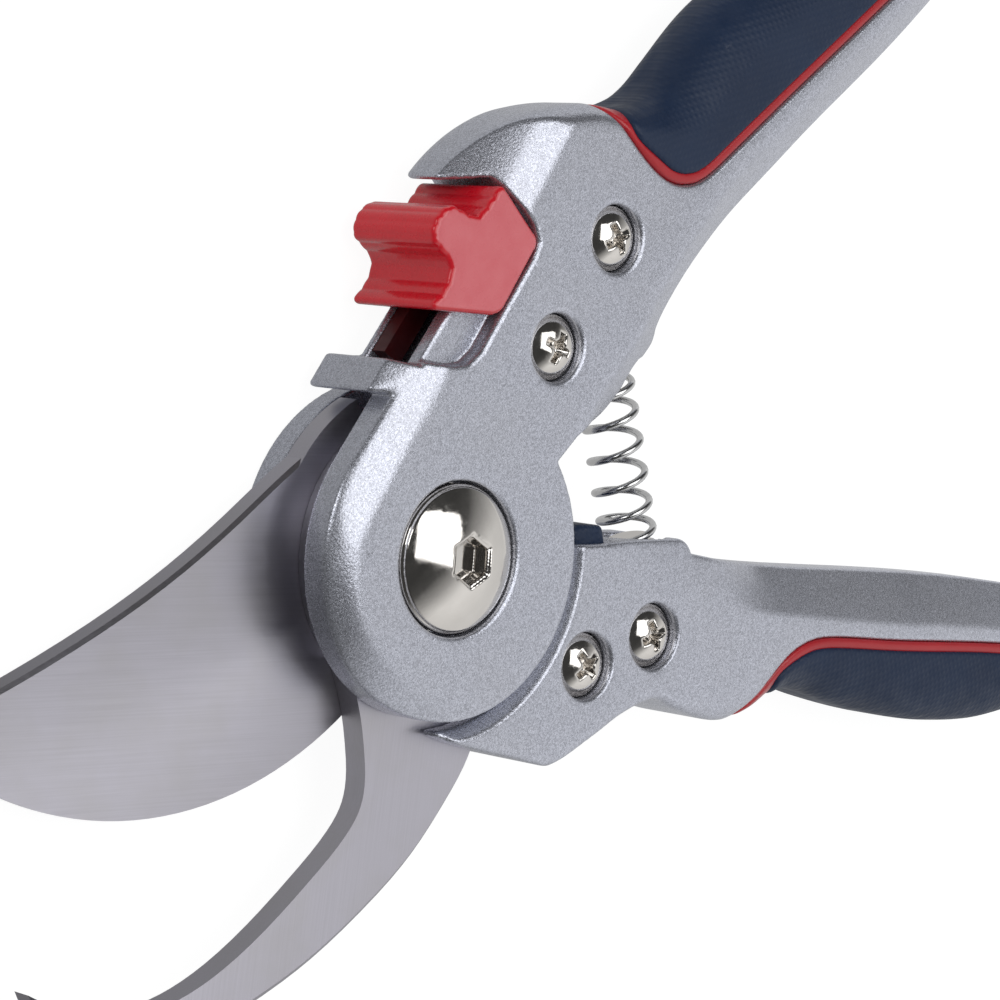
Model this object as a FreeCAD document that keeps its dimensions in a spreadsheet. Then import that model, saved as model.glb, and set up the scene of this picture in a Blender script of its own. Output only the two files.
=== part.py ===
import FreeCAD, Part
import Sketcher
import math
import os
from FreeCAD import Vector, Placement, Rotation

# Hand pruner with a fixed hook and a swinging blade, lying flat.
# Z runs along the pivot axis, Z = 0 is the underside, +X points to the grips and +Y to the thumb side.

doc = FreeCAD.newDocument("pruner")

SIZES = {
    "far_disc_thick": 4.5,
    "blade_thick": 3.25,
    "face_gap": 0.05,
    "hook_thick": 3.7,
    "front_disc_thick": 6.5,
    "upper_bottom": 2.0,
    "lower_top": 16.1,
    "upper_disc_radius": 21.0,
    "far_disc_radius": 22.0,
    "blade_disc_radius": 22.0,
    "hook_boss_radius": 18.4,
    "pivot_radius": 6.0,
    "bore_clearance": 0.05,
    "head_radius": 9.25,
    "head_height": 6.2,
    "head_well_radius": 10.0,
    "head_well_depth": 4.0,
    "hex_across_flats": 6.0,
    "hex_deep": 3.0,
    "bolt_radius": 3.95,
    "washer_thick": 0.4,
    "nut_flange_radius": 8.4,
    "nut_flange_thick": 1.6,
    "screw_head_radius": 4.1,
    "screw_well_radius": 4.5,
    "screw_well_depth": 3.1,
    "screw_radius": 2.0,
    "upper_core_bottom": 6.0,
    "upper_core_top": 14.0,
    "lower_core_bottom": 4.1,
    "lower_core_top": 12.0,
    "trim_width": 1.7,
    "slide_front_floor": 15.3,
    "slide_back_floor": 3.9,
    "slot_bottom": 5.1,
    "slot_top": 13.0,
    "slide_fit": 0.15,
    "spring_outer": 8.2,
    "spring_wire": 1.0,
    "spring_well_radius": 4.9,
}

sheet = doc.addObject("Spreadsheet::Sheet", "Sizes")
for row, (alias, value) in enumerate(SIZES.items(), start=1):
    sheet.set("A%d" % row, alias)
    sheet.set("B%d" % row, str(value))
    sheet.setAlias("B%d" % row, alias)
doc.recompute()

# heights of the stack
BLADE_BASE = "Sizes.far_disc_thick"
BLADE_TOP = "Sizes.far_disc_thick + Sizes.blade_thick"
HOOK_BASE = BLADE_TOP + " + Sizes.face_gap"
HOOK_TOP = HOOK_BASE + " + Sizes.hook_thick"
FRONT = HOOK_TOP + " + Sizes.front_disc_thick"
BORE = "Sizes.pivot_radius + Sizes.bore_clearance"

UPPER_DISC = SIZES["upper_disc_radius"]
FAR_DISC = SIZES["far_disc_radius"]
BLADE_DISC = SIZES["blade_disc_radius"]
HOOK_BOSS = SIZES["hook_boss_radius"]


def height(expression):
    """The value of a height or size written in terms of the sheet."""
    total = 0.0
    sign = 1.0
    for word in expression.split():
        if word in "+-":
            sign = 1.0 if word == "+" else -1.0
        elif word.startswith("Sizes."):
            total += sign * SIZES[word[6:]]
        else:
            total += sign * float(word)
    return total


def polar(radius, degrees):
    angle = math.radians(degrees)
    return (radius * math.cos(angle), radius * math.sin(angle))


def new_body(name):
    body = doc.addObject("PartDesign::Body", name)
    body.Label = name
    return body


def new_sketch(body, name, level, role="XY_Plane"):
    """A sketch on one of the body's origin planes, lifted to a level."""
    sketch = body.newObject("Sketcher::SketchObject", name)
    plane = [f for f in body.Origin.OriginFeatures if f.Role == role][0]
    sketch.AttachmentSupport = [(plane, "")]
    sketch.MapMode = "FlatFace"
    sketch.setExpression(".AttachmentOffset.Base.z", level)
    return sketch


def trace(sketch, runs):
    """Closed outline: each run is two points (line), three (arc) or more (smooth curve)."""
    for run in runs:
        points = [Vector(x, y, 0) for x, y in run]
        if len(points) == 2:
            sketch.addGeometry(Part.LineSegment(points[0], points[1]), False)
        elif len(points) == 3:
            sketch.addGeometry(Part.Arc(points[0], points[1], points[2]), False)
        else:
            curve = Part.BSplineCurve()
            curve.interpolate(points)
            sketch.addGeometry(curve, False)
    return sketch


def circle(sketch, centre, radius):
    """A circle whose radius is bound to the sheet."""
    ring = Part.Circle(Vector(centre[0], centre[1], 0), Vector(0, 0, 1), height(radius))
    number = sketch.addGeometry(ring, False)
    constraint = sketch.addConstraint(Sketcher.Constraint("Radius", number, height(radius)))
    sketch.setExpression("Constraints[%d]" % constraint, radius)
    return sketch


def pad(body, sketch, length):
    feature = body.newObject("PartDesign::Pad", sketch.Name + "_pad")
    feature.Profile = sketch
    feature.setExpression("Length", length)
    sketch.Visibility = False
    doc.recompute()
    return feature


def pocket(body, sketch, depth):
    """Cuts downward from the sketch."""
    before = body.Shape.Volume
    feature = body.newObject("PartDesign::Pocket", sketch.Name + "_cut")
    feature.Profile = sketch
    feature.setExpression("Length", depth)
    doc.recompute()
    if not body.Shape.Volume < before - 1e-3:
        raise RuntimeError(sketch.Name + " cuts nothing")
    return feature


def well(body, name, centre, radius, top, depth, role="XY_Plane"):
    """A round hole cut down from a level, or towards +Y when drawn on the XZ plane."""
    return pocket(body, circle(new_sketch(body, name, top, role), centre, radius), depth)


def revolve(body, sketch):
    """Turns a profile drawn on the XZ plane about the body's Z axis."""
    feature = body.newObject("PartDesign::Revolution", sketch.Name + "_turned")
    feature.Profile = sketch
    feature.ReferenceAxis = (sketch, ["V_Axis"])
    feature.Angle = 360.0
    sketch.Visibility = False
    doc.recompute()
    return feature


def break_edges(body, name, kind, size, wanted):
    """Rounds or chamfers the edges of the body's last feature that the test picks."""
    base = body.Tip
    edges = ["Edge%d" % (n + 1) for n, e in enumerate(base.Shape.Edges) if wanted(e)]
    if not edges:
        raise RuntimeError(name + " finds no edge")
    feature = body.newObject(kind, name)
    feature.Base = (base, edges)
    if kind == "PartDesign::Fillet":
        feature.Radius = size
    else:
        feature.Size = size
    doc.recompute()
    return feature


def flat_at(edge, level):
    box = edge.BoundBox
    return abs(box.ZMin - level) < 1e-4 and abs(box.ZMax - level) < 1e-4


def soften(body, name, top, bottom, least, radius):
    """Rounds the long outline edges of a body's front and back faces."""
    levels = (height(top), height(bottom))
    return break_edges(body, name, "PartDesign::Fillet", radius,
                       lambda e: e.Length > least and any(flat_at(e, level) for level in levels))


# ---------------------------------------------------------------- outlines, mm from the pivot
SCREW_A = (36.15, 32.73)
SCREW_B = (22.6, 21.65)
SCREW_C = (20.82, -21.81)
SCREW_D = (33.82, -22.01)

# upper handle: under the disc's notch, along the inner edge to the heel, back along the outer edge
UPPER_INNER = [
    [(27.5, 10.0), (32.9, 10.5), (37.9, 13.0), (43.6, 15.6)],
    [(43.6, 15.6), (44.6, 16.9), (44.4, 18.2)],
    [(44.4, 18.2), (46.9, 21.0), (54.9, 26.4), (66.9, 31.6), (78.0, 36.7), (94.9, 43.2), (110.0, 49.8),
     (121.5, 55.6)],
]
UPPER_HEEL = [[(121.5, 55.6), (125.6, 60.8), (122.3, 66.7)]]
UPPER_OUTER = [
    (119.9, 67.5), (112.0, 68.4), (100.0, 66.8), (88.0, 64.2), (78.0, 61.8), (66.0, 58.0), (57.0, 53.1),
    (52.0, 49.8), (48.4, 48.3), (44.0, 48.2),
]
UPPER_SHOULDER = [(44.0, 48.2), (40.8, 49.5), (37.5, 50.6)]
UPPER_BROW = [[(37.5, 50.6), (32.0, 51.5), (25.8, 51.6), (19.0, 50.0), (12.4, 46.6)]]

# boundary between metal and trim on the upper handle, from the outer edge to the heel
UPPER_TRIM = [
    (37.5, 50.6), (41.0, 45.8), (44.5, 40.6), (48.2, 37.3), (52.5, 36.3), (58.0, 37.7), (70.0, 42.3),
    (88.0, 49.0), (104.0, 55.0), (113.5, 58.9), (119.0, 62.6), (122.3, 66.7),
]
UPPER_TONGUE = [
    [(45.5, 39.0), (50.5, 44.6)],
    [(50.5, 44.6), (57.0, 48.2), (68.0, 52.8), (78.0, 56.3), (90.0, 59.8), (104.0, 62.9), (112.0, 64.0)],
    [(112.0, 64.0), (110.0, 57.0)],
    [(110.0, 57.0), (88.0, 48.4), (70.0, 41.7), (58.0, 37.1), (50.0, 35.9), (45.5, 39.0)],
]

# the lower handle's runs, in the same order
LOWER_INNER = [
    [(27.5, -6.9), (32.0, -7.9), (37.0, -9.3), (42.3, -10.9)],
    [(42.3, -10.9), (43.4, -11.8), (43.9, -13.5)],
    [(43.9, -13.5), (50.0, -16.4), (60.0, -20.6), (70.0, -24.3), (84.0, -29.2), (98.0, -34.4), (112.0, -40.2),
     (123.0, -45.6)],
]
LOWER_HEEL = [[(123.0, -45.6), (127.4, -51.0), (124.2, -57.0)]]
LOWER_OUTER = [
    (121.6, -58.3), (114.0, -59.8), (102.0, -58.4), (91.0, -55.0), (83.0, -51.6), (76.5, -48.3),
    (69.0, -44.0), (64.5, -41.1), (61.0, -39.5), (57.5, -39.0),
]
LOWER_SHOULDER = [(57.5, -39.0), (52.0, -39.6), (46.4, -39.0)]
LOWER_WALL = 22.6
LOWER_TIP = polar(LOWER_WALL, 252.0)
LOWER_START = polar(LOWER_WALL, -13.5)
LOWER_BELLY = [
    [(46.4, -39.0), (42.2, -37.3), (37.0, -34.0), (32.8, -30.9)],
    [(32.8, -30.9), (26.5, -30.7), (20.0, -31.9), (11.5, -32.9)],
    [(11.5, -32.9), (6.0, -29.9), (-1.0, -26.0), LOWER_TIP],
]
LOWER_TRIM = [
    (46.4, -39.0), (50.4, -38.0), (53.6, -36.7), (56.6, -35.0), (60.3, -33.5), (64.4, -33.1), (70.2, -34.5),
    (80.0, -38.2), (92.0, -42.5), (104.0, -46.8), (114.5, -50.9), (120.5, -53.8), (124.2, -57.0),
]
LOWER_TONGUE = [
    [(58.5, -33.4), (64.0, -37.4)],
    [(64.0, -37.4), (67.0, -39.2), (73.0, -42.6), (81.0, -46.6), (91.0, -50.2), (104.0, -53.6),
     (113.0, -54.9)],
    [(113.0, -54.9), (111.0, -48.9)],
    [(111.0, -48.9), (92.0, -41.9), (80.0, -37.5), (70.0, -33.8), (64.0, -32.2), (58.5, -33.4)],
]


def beside(points, distance):
    """The same run of points moved sideways, to its left."""
    moved = []
    for n, (x, y) in enumerate(points):
        before = points[max(n - 1, 0)]
        after = points[min(n + 1, len(points) - 1)]
        run_x, run_y = after[0] - before[0], after[1] - before[1]
        length = math.hypot(run_x, run_y)
        moved.append((x - distance * run_y / length, y + distance * run_x / length))
    return moved


def along(offset, station):
    """A point of the lock's track: offset away from the pivot, station along the slide towards the grips."""
    c, s = math.cos(TRACK_ANGLE), math.sin(TRACK_ANGLE)
    return (-offset * s + station * c, offset * c + station * s)


def track_block(sketch, offsets, stations):
    """A rectangle square to the lock's track."""
    low, high = offsets
    near, far = stations
    corners = [along(low, near), along(low, far), along(high, far), along(high, near)]
    return trace(sketch, [[corners[n], corners[(n + 1) % 4]] for n in range(4)])


def length_of(points):
    """Length of the straight runs through the points."""
    return sum(math.dist(points[n], points[n + 1]) for n in range(len(points) - 1))


def chain(points):
    """Straight runs joining the points into a closed outline."""
    return [[points[n], points[(n + 1) % len(points)]] for n in range(len(points))]


TRACK_ANGLE = math.radians(37.6)
NOTCH_CORNER = polar(UPPER_DISC, 19.5)
BAR_ROOT = polar(23.4, 101.5)
BAR_CORNER = (-7.5, 24.0)
BAR_END = (-3.4, 27.3)
CORE_START = along(20.0, 15.7)
CORE_END = along(20.0, 41.3)
TRACK_TOP = (18.5, 45.1)
BROW_TIP = (12.0, 46.2)
CORE_CLEAR = 23.4

TRACK_SIDE = [
    [UPPER_BROW[-1][-1], BROW_TIP],
    [BROW_TIP, TRACK_TOP],
    [TRACK_TOP, CORE_END],
    [CORE_END, CORE_START],
    [CORE_START, BAR_END],
    [BAR_END, BAR_CORNER],
]
RECESS = [
    (-3.0, 29.5), along(21.3, 15.7), (4.5, 24.2), (6.9, 23.8), (9.4, 24.8), (14.6, 29.1), (20.9, 34.2),
    (22.1, 35.8), (21.9, 38.2), TRACK_TOP, BROW_TIP, (6.0, 48.5), (-5.0, 38.0),
]


def tang(start, end, half, grow, joint_low, joint_high):
    """Outline of a blade's tail: two sides along its pair of screws, closed round the far one."""
    dx, dy = end[0] - start[0], end[1] - start[1]
    length = math.hypot(dx, dy)
    dx, dy = dx / length, dy / length
    reach = half + grow
    low = (end[0] + reach * dy, end[1] - reach * dx)
    high = (end[0] - reach * dy, end[1] + reach * dx)
    tip = (end[0] + reach * dx, end[1] + reach * dy)
    return [[joint_low, low], [low, tip, high], [high, joint_high]]


DETENT_STATION = 29.0
DETENT_LEVEL = 6.4
DETENT_HALF = 1.3
SPRING_X = 38.0
SPRING_Z = 9.3
SPRING_TOP = 17.9
SPRING_BOTTOM = -14.9
HOOK_TANG_LOW = (16.7, 7.73)
HOOK_TANG_HIGH = (6.2, 17.32)


# ---------------------------------------------------------------- upper handle: core, front disc and seats
upper = new_body("upper_handle")
front = new_sketch(upper, "upper_front", HOOK_TOP)
trace(front, [
    [NOTCH_CORNER, (24.0, 9.2)],
    [(24.0, 9.2), (27.5, 10.0)],
])
trace(front, UPPER_INNER + UPPER_HEEL)
trace(front, [list(reversed(UPPER_TRIM))])
trace(front, UPPER_BROW + TRACK_SIDE)
trace(front, [
    [BAR_CORNER, BAR_ROOT],
    [BAR_ROOT, polar(UPPER_DISC, 129.9)],
    [polar(UPPER_DISC, 129.9), polar(UPPER_DISC, 254.7), NOTCH_CORNER],
])
pad(upper, front, "Sizes.front_disc_thick")

core = new_sketch(upper, "upper_core", "Sizes.upper_bottom")
notch_out = polar(CORE_CLEAR, 20.3)
trace(core, [
    [BAR_CORNER, BAR_ROOT],
    [BAR_ROOT, polar(CORE_CLEAR, 60.0), notch_out],
    [notch_out, (24.0, 9.2)],
    [(24.0, 9.2), (27.5, 10.0)],
])
trace(core, UPPER_INNER + UPPER_HEEL)
trace(core, [list(reversed(UPPER_TRIM))])
trace(core, UPPER_BROW + TRACK_SIDE)
pad(upper, core, HOOK_TOP + " - Sizes.upper_bottom")
soften(upper, "upper_edges", FRONT, "Sizes.upper_bottom", 20.0, 0.8)
pad(upper, trace(new_sketch(upper, "upper_tongue", "Sizes.upper_core_bottom"), UPPER_TONGUE),
    "Sizes.upper_core_top - Sizes.upper_core_bottom")

trace(new_sketch(upper, "front_recess", FRONT), chain(RECESS))
pocket(upper, doc.getObject("front_recess"), FRONT + " - Sizes.slide_front_floor")
trace(new_sketch(upper, "back_recess", "Sizes.slide_back_floor"), chain(RECESS))
pocket(upper, doc.getObject("back_recess"), "Sizes.slide_back_floor - Sizes.upper_bottom")
track_block(new_sketch(upper, "track_slot", "Sizes.slot_top"), (15.0, 23.0), (15.7, 41.5))
pocket(upper, doc.getObject("track_slot"), "Sizes.slot_top - Sizes.slot_bottom")
track_block(new_sketch(upper, "bolt_window", "Sizes.slot_bottom + 2.7"), (16.3, 19.8), (8.0, 17.0))
pocket(upper, doc.getObject("bolt_window"), "2.7")

seat = new_sketch(upper, "hook_seat", HOOK_TOP)
seat_runs = tang(SCREW_B, SCREW_A, 7.0, 0.1, HOOK_TANG_LOW, HOOK_TANG_HIGH)
trace(seat, seat_runs + [[HOOK_TANG_HIGH, HOOK_TANG_LOW]])
pocket(upper, seat, HOOK_TOP + " - " + BLADE_TOP.replace("+", "-"))
well(upper, "upper_bore", (0, 0), BORE, FRONT, "Sizes.front_disc_thick")
well(upper, "head_well", (0, 0), "Sizes.head_well_radius", FRONT, "Sizes.head_well_depth")
for label, centre in (("a", SCREW_A), ("b", SCREW_B)):
    well(upper, "screw_well_" + label, centre, "Sizes.screw_well_radius", FRONT, "Sizes.screw_well_depth")
    well(upper, "screw_hole_" + label, centre, "Sizes.screw_radius + 0.05", FRONT, FRONT + " - 3.5")
well(upper, "upper_spring_well", (SPRING_X, SPRING_Z), "Sizes.spring_well_radius", "-5.0", "12.9", "XZ_Plane")
detent = new_sketch(upper, "detent_hole", str(DETENT_LEVEL + DETENT_HALF))
track_block(detent, (7.6, 15.5), (DETENT_STATION - DETENT_HALF, DETENT_STATION + DETENT_HALF))
pocket(upper, detent, str(2.0 * DETENT_HALF))


# ---------------------------------------------------------------- grips and their trims
GRIP_ROUNDING = 3.0


def grip(name, trim, skipped, side, edge, outer, tongue_runs, bottom, top, core_bottom, core_top):
    """A trim band along the metal and the soft grip beyond it, both hollow over the handle's tongue."""
    inside = [edge[0]] + beside(trim, side * SIZES["trim_width"])[skipped:-1] + [outer[0]]
    rims = {
        name + "_trim": [trim, [trim[-1], outer[0]], list(reversed(inside)), edge],
        name: [inside, outer],
    }
    for label, runs in rims.items():
        body = new_body(label)
        pad(body, trace(new_sketch(body, label + "_outline", bottom), runs), top + " - " + bottom)
        if body.Label == name:
            levels = (height(top), height(bottom))
            back = length_of(outer)
            break_edges(body, label + "_edges", "PartDesign::Fillet", GRIP_ROUNDING,
                        lambda e: abs(e.Length - back) < 1.5 and any(flat_at(e, z) for z in levels))
        hollow = trace(new_sketch(body, label + "_hollow", core_top), tongue_runs)
        pocket(body, hollow, core_top + " - " + core_bottom)


grip("upper_grip", UPPER_TRIM, 1, 1.0, UPPER_SHOULDER, UPPER_OUTER, UPPER_TONGUE, "Sizes.upper_bottom", FRONT,
     "Sizes.upper_core_bottom", "Sizes.upper_core_top")

# ---------------------------------------------------------------- lower handle
lower = new_body("lower_handle")
LOWER_METAL = LOWER_INNER + LOWER_HEEL + [list(reversed(LOWER_TRIM))] + LOWER_BELLY
far = new_sketch(lower, "lower_far", "0.0")
far_tip = polar(FAR_DISC, 253.0)
trace(far, [
    [far_tip, polar(FAR_DISC, 120.0), polar(FAR_DISC, -13.5)],
    [polar(FAR_DISC, -13.5), LOWER_START],
    [LOWER_START, LOWER_INNER[0][0]],
])
trace(far, LOWER_METAL + [[LOWER_TIP, far_tip]])
pad(lower, far, "Sizes.far_disc_thick")
near = new_sketch(lower, "lower_near", "Sizes.far_disc_thick")
trace(near, [
    [LOWER_TIP, polar(LOWER_WALL, 300.0), LOWER_START],
    [LOWER_START, LOWER_INNER[0][0]],
])
trace(near, LOWER_METAL)
pad(lower, near, "Sizes.lower_top - Sizes.far_disc_thick")
break_edges(lower, "lower_edges", "PartDesign::Fillet", 0.8,
            lambda e: (flat_at(e, SIZES["lower_top"]) or flat_at(e, 0.0)) and e.BoundBox.XMin > 43.5
            and e.BoundBox.YMin > -46.0)
pad(lower, trace(new_sketch(lower, "lower_tongue", "Sizes.lower_core_bottom"), LOWER_TONGUE),
    "Sizes.lower_core_top - Sizes.lower_core_bottom")
blade_room = new_sketch(lower, "blade_room", BLADE_TOP + " + Sizes.face_gap")
trace(blade_room, tang(SCREW_C, SCREW_D, 5.5, 0.1, (14.0, -27.4), (12.0, -16.1)))
trace(blade_room, [[(12.0, -16.1), (5.8, -21.3)], [(5.8, -21.3), (14.0, -27.4)]])
pocket(lower, blade_room, "Sizes.blade_thick + Sizes.face_gap")
hook_room = new_sketch(lower, "hook_room", HOOK_TOP + " + 0.1")
trace(hook_room, chain([(7.2, -20.0), (7.2, -34.0), (-9.0, -34.0), (-9.0, -20.0)]))
pocket(lower, hook_room, "Sizes.hook_thick + 0.2")
well(lower, "lower_bore", (0, 0), BORE, "Sizes.far_disc_thick", "Sizes.far_disc_thick")
flange_well = "Sizes.nut_flange_thick + Sizes.washer_thick + Sizes.face_gap"
well(lower, "flange_well", (0, 0), "Sizes.nut_flange_radius + 0.3", flange_well, flange_well)
for label, centre in (("c", SCREW_C), ("d", SCREW_D)):
    well(lower, "screw_well_" + label, centre, "Sizes.screw_well_radius", "Sizes.lower_top",
         "Sizes.screw_well_depth")
    well(lower, "screw_hole_" + label, centre, "Sizes.screw_radius + 0.05", "Sizes.lower_top",
         "Sizes.lower_top - 1.2")
well(lower, "lower_spring_well", (SPRING_X, SPRING_Z), "Sizes.spring_well_radius", "14.9", "10.0", "XZ_Plane")
BUMPER_TOP = "Sizes.lower_top - 2.0"
BUMPER_TALL = "Sizes.lower_top - 2.0 - Sizes.far_disc_thick - 1.0"
BUMPER = [(23.3, -3.6), (25.5, -3.7), (29.3, -5.0), (29.3, -9.6), (23.3, -9.6)]
bumper_room = new_sketch(lower, "bumper_room", BUMPER_TOP)
trace(bumper_room, chain(BUMPER))
pocket(lower, bumper_room, BUMPER_TALL)
grip("lower_grip", LOWER_TRIM, 3, -1.0, LOWER_SHOULDER, LOWER_OUTER, LOWER_TONGUE, "0.0", "Sizes.lower_top",
     "Sizes.lower_core_bottom", "Sizes.lower_core_top")

bumper = new_body("rubber_bumper")
sketch = new_sketch(bumper, "bumper_outline", "Sizes.far_disc_thick + 1.0")
pad(bumper, trace(sketch, chain(BUMPER)), BUMPER_TALL)

# ---------------------------------------------------------------- cutting blade and hook
BLADE_TAIL_LOW = polar(BLADE_DISC, -74.0)
BLADE_TAIL_HIGH = (14.78, -16.3)
BLADE_ROOT = (-14.2, -16.76)
BLADE_TIP = (-76.2, -0.5)
SPINE_ROOT = (-14.2, 16.8)
SPINE = [
    BLADE_TIP, (-73.6, 1.5), (-70.0, 2.8), (-64.0, 3.7), (-56.0, 4.8), (-48.0, 6.2), (-40.0, 8.0),
    (-33.0, 10.0), (-25.0, 12.8), (-18.0, 15.5), SPINE_ROOT,
]
blade = new_body("cutting_blade")
sketch = new_sketch(blade, "blade_outline", BLADE_BASE)
trace(sketch, [
    [BLADE_ROOT, (-40.0, -20.51), BLADE_TIP],
    SPINE,
    [SPINE_ROOT, polar(BLADE_DISC, 43.0), BLADE_TAIL_HIGH],
])
trace(sketch, tang(SCREW_C, SCREW_D, 5.5, 0.0, (14.0, -27.25), BLADE_TAIL_HIGH))
trace(sketch, [
    [(14.0, -27.25), BLADE_TAIL_LOW],
    [BLADE_TAIL_LOW, polar(BLADE_DISC, -102.0), BLADE_ROOT],
])
pad(blade, sketch, "Sizes.blade_thick")
# notches in the disc's rim that the lock's bolt drops into, with the blade open and shut
NOTCH_INNER = 19.1
NOTCH_OUTER = 23.5
NOTCH_SPAN = 15.5
for label, first in (("open", 85.0), ("shut", 57.0)):
    notch = new_sketch(blade, "notch_" + label, BLADE_TOP)
    last = first + NOTCH_SPAN
    trace(notch, chain([
        polar(NOTCH_INNER, first), polar(NOTCH_INNER, last),
        polar(NOTCH_OUTER, last), polar(NOTCH_OUTER, first),
    ]))
    pocket(blade, notch, "Sizes.blade_thick")
break_edges(blade, "spine_chamfer", "PartDesign::Chamfer", 0.5,
            lambda e: flat_at(e, height(BLADE_TOP)) and e.BoundBox.XMin < -70.0 and e.BoundBox.YMax > 10.0)
well(blade, "blade_bore", (0, 0), BORE, BLADE_TOP, "Sizes.blade_thick")
for label, centre in (("c", SCREW_C), ("d", SCREW_D)):
    well(blade, "blade_hole_" + label, centre, "Sizes.screw_radius + 0.2", BLADE_TOP, "Sizes.blade_thick")
EDGE_CENTRE = (-34.5, 32.2)
EDGE_RADIUS = 53.0
BEVEL_WIDE = 6.5
BEVEL_HIGH = 2.9
bevel = new_sketch(blade, "bevel_profile", str(EDGE_CENTRE[0]), "YZ_Plane")
start = EDGE_CENTRE[1] - EDGE_RADIUS + BEVEL_WIDE
base_z = SIZES["far_disc_thick"]
OVERRUN = 1.3
trace(bevel, chain([
    (start, base_z),
    (start - BEVEL_WIDE * OVERRUN, base_z),
    (start - BEVEL_WIDE * OVERRUN, base_z + BEVEL_HIGH * OVERRUN),
]))
bevel.addGeometry(Part.LineSegment(Vector(EDGE_CENTRE[1], 0, 0), Vector(EDGE_CENTRE[1], 10, 0)), True)
groove = blade.newObject("PartDesign::Groove", "cutting_bevel")
groove.Profile = bevel
groove.ReferenceAxis = (bevel, ["Axis0"])
groove.Type = "TwoAngles"
groove.Angle = 22.0
groove.Angle2 = 58.0
doc.recompute()

hook = new_body("hook_blade")
sketch = new_sketch(hook, "hook_outline", HOOK_BASE)
HOOK_INNER_TOP = polar(HOOK_BOSS, 209.5)
HOOK_TIP = (-71.4, -32.2)
HOOK_OUTER_END = polar(HOOK_BOSS, 289.0)
trace(sketch, [
    [HOOK_INNER_TOP, (-15.4, -13.4), (-15.3, -17.5), (-15.6, -21.0), (-16.3, -25.0), (-17.8, -28.2),
     (-20.8, -30.8), (-27.0, -34.0), (-34.0, -37.0), (-42.0, -39.7), (-51.0, -41.1), (-57.0, -40.6), (-62.5, -38.8),
     (-67.3, -35.9), HOOK_TIP],
    [HOOK_TIP, (-69.6, -36.9), (-65.5, -41.0), (-59.5, -44.4), (-52.0, -46.5), (-45.0, -46.9), (-38.0, -46.3),
     (-30.0, -44.9), (-20.0, -41.9), (-10.0, -37.6), (-3.0, -33.0), (2.7, -28.0), (5.3, -23.5),
     HOOK_OUTER_END],
    [HOOK_OUTER_END, polar(HOOK_BOSS, -22.0), HOOK_TANG_LOW],
])
trace(sketch, tang(SCREW_B, SCREW_A, 7.0, 0.0, HOOK_TANG_LOW, HOOK_TANG_HIGH))
trace(sketch, [[HOOK_TANG_HIGH, polar(HOOK_BOSS, 140.0), HOOK_INNER_TOP]])
pad(hook, sketch, "Sizes.hook_thick")
well(hook, "hook_bore", (0, 0), BORE, HOOK_TOP, "Sizes.hook_thick")
for label, centre in (("a", SCREW_A), ("b", SCREW_B)):
    well(hook, "hook_hole_" + label, centre, "Sizes.screw_radius + 0.2", HOOK_TOP, "Sizes.hook_thick")
break_edges(hook, "hook_bevel", "PartDesign::Chamfer", 0.9,
            lambda e: flat_at(e, height(HOOK_TOP)) and e.BoundBox.YMin < -46.0)

# ---------------------------------------------------------------- pivot
HEAD_SEAT = FRONT + " - Sizes.head_well_depth + Sizes.washer_thick"
bolt = new_body("pivot_bolt")
sketch = new_sketch(bolt, "bolt_profile", "0.0", "XZ_Plane")
seat_z = height(HEAD_SEAT)
top_z = seat_z + SIZES["head_height"]
rim = SIZES["head_radius"]
shank = SIZES["bolt_radius"]
trace(sketch, [
    [(0.0, 3.0), (shank, 3.0)],
    [(shank, 3.0), (shank, seat_z)],
    [(shank, seat_z), (rim, seat_z)],
    [(rim, seat_z), (rim, seat_z + 3.2)],
    [(rim, seat_z + 3.2), (0.62 * rim, top_z - 1.08), (0.0, top_z)],
    [(0.0, top_z), (0.0, 3.0)],
])
revolve(bolt, sketch)
socket = new_sketch(bolt, "hex_socket", HEAD_SEAT + " + Sizes.head_height")
across = SIZES["hex_across_flats"] / math.sqrt(3.0)
trace(socket, chain([polar(across, 60.0 * n + 12.0) for n in range(6)]))
pocket(bolt, socket, "Sizes.hex_deep")

nut = new_body("pivot_nut")
sketch = new_sketch(nut, "nut_profile", "0.0", "XZ_Plane")
flange, sleeve = SIZES["nut_flange_radius"], SIZES["pivot_radius"]
flange_top = SIZES["nut_flange_thick"]
sleeve_top = height(FRONT) - SIZES["head_well_depth"] - 0.1
trace(sketch, chain([
    (0.0, 0.0), (flange - 0.4, 0.0), (flange, 0.4), (flange, flange_top), (sleeve, flange_top),
    (sleeve, sleeve_top), (shank, sleeve_top), (shank, 2.6), (0.0, 2.6),
]))
revolve(nut, sketch)


def ring(name, inner, outer, level):
    """A flat washer standing on a level."""
    body = new_body(name)
    sketch = new_sketch(body, name + "_outline", level)
    circle(sketch, (0, 0), inner)
    circle(sketch, (0, 0), outer)
    pad(body, sketch, "Sizes.washer_thick")


ring("head_washer", "Sizes.bolt_radius + 0.2", "Sizes.head_radius + 0.3", FRONT + " - Sizes.head_well_depth")
ring("nut_washer", "Sizes.pivot_radius + 0.2", "Sizes.nut_flange_radius - 0.2", "Sizes.nut_flange_thick")


# ---------------------------------------------------------------- handle screws
CROSS_ARM = 2.1
CROSS_HALF = 0.45


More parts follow.
